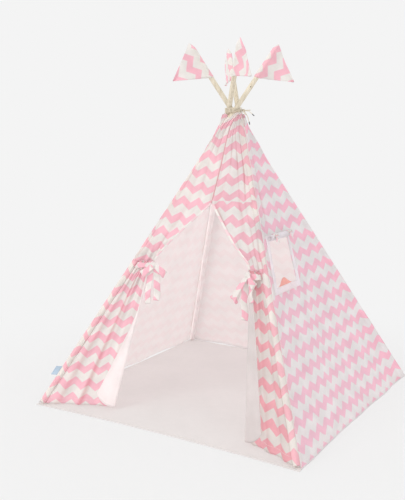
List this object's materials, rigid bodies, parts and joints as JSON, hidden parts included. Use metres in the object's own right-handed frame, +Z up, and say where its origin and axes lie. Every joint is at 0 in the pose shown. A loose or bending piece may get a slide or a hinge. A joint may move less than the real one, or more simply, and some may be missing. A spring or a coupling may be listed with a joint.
{
  "type": "kids teepee",
  "caption": "Play tent on crossed wooden poles lashed at the top, with a printed cotton cover, tied-back door flaps, a side window with a roll-up curtain, pennant flags and a floor sheet.",
  "frame": {"origin": "centre of the floor sheet's underside, on the ground", "axes": "+Z up; the door faces -Y and the window is in the +X wall"},
  "size_m": [1.2316, 1.2298, 1.527],
  "materials": {
    "pine": "sanded pale pine, clear matt",
    "ferrule_steel": "plain drawn tube",
    "chevron_cotton": "plain weave, printed with a pink and off-white zigzag",
    "white_cotton": "plain weave, off-white",
    "floor_cotton": "plain weave, pale pinkish white",
    "cotton_cord": "braided natural cotton",
    "tip_plastic": "dark moulded tip",
    "tag_cloth": "blank woven tag, grey-blue"
  },
  "bodies": {
    "floor": {"floor_sheet": "floor_cotton"},
    "crown": {"back_wall": "chevron_cotton", "front_yoke_left": "chevron_cotton", "front_yoke_right": "chevron_cotton", "lashing_cord": "cotton_cord", "lashing_bow": "cotton_cord", "lashing_tail_upper": "cotton_cord", "lashing_tail_lower": "cotton_cord", "cord_tip_upper": "tip_plastic", "cord_tip_lower": "tip_plastic"},
    "frame_left": {"left_wall": "chevron_cotton", "side_tag": "tag_cloth", "lower_pole_front_left": "pine", "upper_pole_front_left": "pine", "ferrule_front_left": "ferrule_steel", "lower_pole_back_left": "pine", "upper_pole_back_left": "pine", "ferrule_back_left": "ferrule_steel", "pole_sleeve_back_left": "white_cotton"},
    "frame_right": {"right_wall": "chevron_cotton", "window_binding": "white_cotton", "lower_pole_front_right": "pine", "upper_pole_front_right": "pine", "ferrule_front_right": "ferrule_steel", "lower_pole_back_right": "pine", "upper_pole_back_right": "pine", "ferrule_back_right": "ferrule_steel", "pole_sleeve_back_right": "white_cotton"},
    "sleeve_front_left": {"pole_sleeve_front_left": "white_cotton"},
    "door_left": {"door_flap_left": "chevron_cotton", "door_tie_band_left": "chevron_cotton", "door_tie_bow_left": "chevron_cotton", "door_tie_tail_inner_left": "chevron_cotton", "door_tie_tail_outer_left": "chevron_cotton"},
    "pennant_front_left": {"flag_front_left": "chevron_cotton"},
    "sleeve_front_right": {"pole_sleeve_front_right": "white_cotton"},
    "door_right": {"door_flap_right": "chevron_cotton", "door_tie_band_right": "chevron_cotton", "door_tie_bow_right": "chevron_cotton", "door_tie_tail_inner_right": "chevron_cotton", "door_tie_tail_outer_right": "chevron_cotton"},
    "pennant_front_right": {"flag_front_right": "chevron_cotton"},
    "pennant_back_right": {"flag_back_right": "chevron_cotton"},
    "pennant_back_left": {"flag_back_left": "chevron_cotton"},
    "curtain": {"window_curtain": "white_cotton", "window_tie_front": "white_cotton", "window_tie_back": "white_cotton"}
  },
  "joints": [
    {"name": "crown_lift", "type": "slide", "parent": "floor", "child": "crown", "axis": [0, 0, 1], "range_m": [0, 0.246]},
    {"name": "frame_left_close", "type": "hinge", "parent": "crown", "child": "frame_left", "pos_m": [0, 0, 1.2465], "axis": [0, -1, 0], "range_deg": [0, 22.8]},
    {"name": "frame_right_close", "type": "hinge", "parent": "crown", "child": "frame_right", "pos_m": [0, 0, 1.2465], "axis": [0, 1, 0], "range_deg": [0, 22.8]},
    {"name": "sleeve_front_left_turn", "type": "hinge", "parent": "frame_left", "child": "sleeve_front_left", "pos_m": [0.0152, -0.0152, 1.2465], "axis": [-0.4079, -0.3878, -0.8266], "range_deg": [0, 115]},
    {"name": "door_left_swing", "type": "hinge", "parent": "sleeve_front_left", "child": "door_left", "pos_m": [0.0152, -0.0152, 1.2465], "axis": [-0.4079, -0.3878, -0.8266], "range_deg": [-2, 30]},
    {"name": "pennant_front_left_turn", "type": "hinge", "parent": "frame_left", "child": "pennant_front_left", "pos_m": [0.0152, -0.0152, 1.2465], "axis": [0.4079, 0.3878, 0.8266], "range_deg": [-45, 15]},
    {"name": "sleeve_front_right_turn", "type": "hinge", "parent": "frame_right", "child": "sleeve_front_right", "pos_m": [0.0152, 0.0152, 1.2465], "axis": [-0.3878, 0.4079, 0.8266], "range_deg": [0, 115]},
    {"name": "door_right_swing", "type": "hinge", "parent": "sleeve_front_right", "child": "door_right", "pos_m": [0.0152, 0.0152, 1.2465], "axis": [-0.3878, 0.4079, 0.8266], "range_deg": [-2, 30]},
    {"name": "pennant_front_right_turn", "type": "hinge", "parent": "frame_right", "child": "pennant_front_right", "pos_m": [0.0152, 0.0152, 1.2465], "axis": [-0.3878, 0.4079, 0.8266], "range_deg": [-45, 15]},
    {"name": "pennant_back_right_turn", "type": "hinge", "parent": "frame_right", "child": "pennant_back_right", "pos_m": [-0.0152, 0.0152, 1.2465], "axis": [-0.4079, -0.3878, 0.8266], "range_deg": [-45, 15]},
    {"name": "pennant_back_left_turn", "type": "hinge", "parent": "frame_left", "child": "pennant_back_left", "pos_m": [-0.0152, -0.0152, 1.2465], "axis": [0.3878, -0.4079, 0.8266], "range_deg": [-50, 3]},
    {"name": "curtain_unroll", "type": "slide", "parent": "frame_right", "child": "curtain", "axis": [0.3989, -0.384, -0.8327], "range_m": [0, 0.183]}
  ],
  "couplings": [
    {"joint": "frame_left_close", "follows": "crown_lift", "rad_per_m": 1.6175},
    {"joint": "frame_right_close", "follows": "crown_lift", "rad_per_m": 1.6175},
    {"joint": "sleeve_front_left_turn", "follows": "crown_lift", "rad_per_m": 8.1582},
    {"joint": "sleeve_front_right_turn", "follows": "crown_lift", "rad_per_m": 8.1582}
  ]
}
